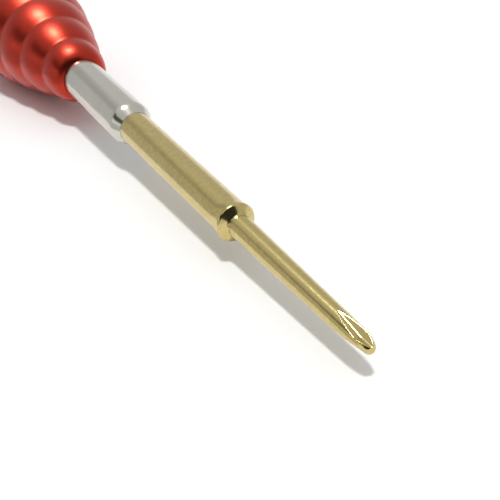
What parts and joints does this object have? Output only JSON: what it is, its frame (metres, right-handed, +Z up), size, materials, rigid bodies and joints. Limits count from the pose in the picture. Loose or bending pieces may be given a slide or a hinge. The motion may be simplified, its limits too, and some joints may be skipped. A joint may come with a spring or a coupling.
{
  "type": "tri-point screwdriver",
  "caption": "Precision screwdriver with a tri-point tip, gold-coated shank, silver collar, beaded red handle and a palm cap that swivels on a ball bearing.",
  "frame": {"origin": "centre of the outer face of the swivel cap's lid", "axes": "+X along the tool's axis towards the point, +Z up, away from the flat of the flange that the tool rests on"},
  "size_m": [0.1384, 0.0214, 0.0186],
  "materials": {
    "gold_coat": "gold nitride coat over drawn tool steel, satin",
    "nickel": "nickel plate, finely turned",
    "red_anodise": "satin red anodise",
    "bearing_steel": "ground and polished",
    "screw_steel": "plain bright steel",
    "spring_steel": "oiled spring steel"
  },
  "bodies": {
    "handle": {"handle_body": "red_anodise", "collar": "nickel", "driver_bit": "gold_coat", "axle_screw": "screw_steel", "head_washer": "screw_steel", "spacer_tube": "screw_steel", "bearing_inner_ring": "bearing_steel"},
    "cap": {"cap_body": "red_anodise", "cap_lid": "nickel", "retaining_ring": "spring_steel", "bearing_outer_ring": "bearing_steel", "shield_rear": "screw_steel", "shield_front": "screw_steel"},
    "cage": {"bearing_cage": "screw_steel", "ball_1": "bearing_steel", "ball_2": "bearing_steel", "ball_3": "bearing_steel", "ball_4": "bearing_steel", "ball_5": "bearing_steel", "ball_6": "bearing_steel", "ball_7": "bearing_steel"}
  },
  "joints": [
    {"name": "cap_spin", "type": "hinge", "parent": "handle", "child": "cap", "pos_m": [0.0077, 0, 0], "axis": [1, 0, 0], "continuous": true},
    {"name": "cage_spin", "type": "hinge", "parent": "handle", "child": "cage", "pos_m": [0.0077, 0, 0], "axis": [1, 0, 0], "continuous": true}
  ],
  "couplings": [
    {"joint": "cage_spin", "follows": "cap_spin", "ratio": 0.62}
  ]
}
